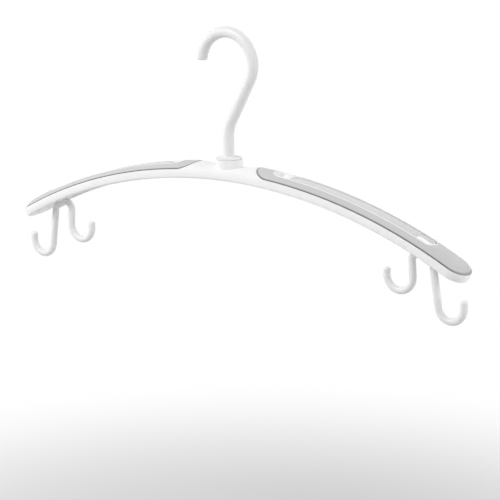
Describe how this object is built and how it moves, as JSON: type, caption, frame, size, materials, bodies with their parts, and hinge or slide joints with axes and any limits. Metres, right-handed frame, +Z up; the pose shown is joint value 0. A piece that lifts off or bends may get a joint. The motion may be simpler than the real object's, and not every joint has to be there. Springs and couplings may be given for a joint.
{
  "type": "clothes hanger with strap hooks",
  "caption": "White plastic clothes hanger with soft grey shoulder grips, a swivel rail hook and a double strap hook under each end.",
  "frame": {"origin": "where the rail touches the inside of the hook's crown, on the swivel axis", "axes": "+X along the arm, +Y across it, +Z up along the swivel axis; the hanger hangs below the origin"},
  "size_m": [0.44, 0.0268, 0.2123],
  "materials": {
    "white_plastic": "satin injection-moulded polypropylene",
    "grip_rubber": "matte thermoplastic elastomer",
    "clip_steel": "bright zinc"
  },
  "bodies": {
    "hook": {"swivel_hook": "white_plastic", "hook_clip": "clip_steel"},
    "hanger": {"arm_shell": "white_plastic", "arm_cover": "white_plastic", "grip_pad_left": "grip_rubber", "grip_pad_right": "grip_rubber", "strap_hook_left": "white_plastic", "strap_hook_right": "white_plastic", "thrust_washer": "clip_steel"}
  },
  "joints": [
    {"name": "hook_swivel", "type": "hinge", "parent": "hook", "child": "hanger", "pos_m": [0, 0, -0.0969], "axis": [0, 0, 1], "continuous": true}
  ]
}
